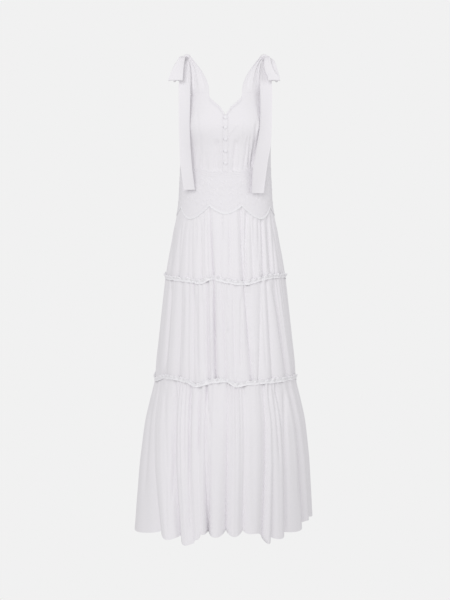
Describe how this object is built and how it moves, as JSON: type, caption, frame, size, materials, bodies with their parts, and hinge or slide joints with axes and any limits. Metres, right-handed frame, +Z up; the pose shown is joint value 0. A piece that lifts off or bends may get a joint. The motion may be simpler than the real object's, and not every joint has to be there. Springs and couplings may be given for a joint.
{
  "type": "maxi dress",
  "caption": "Sleeveless V-neck maxi dress in worn shape, with shoulder straps tied in bows, a buttoned bodice, a lace waistband and a gathered tiered skirt.",
  "frame": {"origin": "midway between the wearer's shoulders, at the height where the straps rest on them, just under the knots", "axes": "+Z up, the dress hangs down -Z; the front faces -Y; the wearer's left side is at +X"},
  "size_m": [0.5388, 0.5174, 1.4405],
  "materials": {
    "voile": "thin matt cotton voile, white with a faint cool tint",
    "lace": "white cotton lace and braid over its backing cloth, matt",
    "button": "small domed white buttons with a soft shine"
  },
  "bodies": {
    "root": {"bodice_back": "voile", "bodice_front_left": "voile", "bodice_front_right": "voile", "knot_left": "voile", "knot_right": "voile", "loop_back_left": "voile", "loop_back_right": "voile", "loop_front_left": "voile", "loop_front_right": "voile", "placket": "voile", "strap_back_left": "voile", "strap_back_right": "voile", "strap_front_left": "voile", "strap_front_right": "voile", "tie_back_left": "voile", "tie_back_right": "voile", "tie_front_left": "voile", "tie_front_right": "voile", "tier_lower_back": "voile", "tier_lower_front": "voile", "tier_middle_back": "voile", "tier_middle_front": "voile", "tier_upper_back": "voile", "tier_upper_front": "voile", "band_edge_back": "lace", "band_edge_front": "lace", "neck_trim_left": "lace", "neck_trim_right": "lace", "ruffle_lower": "lace", "ruffle_upper": "lace", "waistband_back": "lace", "waistband_front": "lace", "button_1": "button", "button_2": "button", "button_3": "button", "button_4": "button", "button_5": "button"}
  },
  "joints": []
}
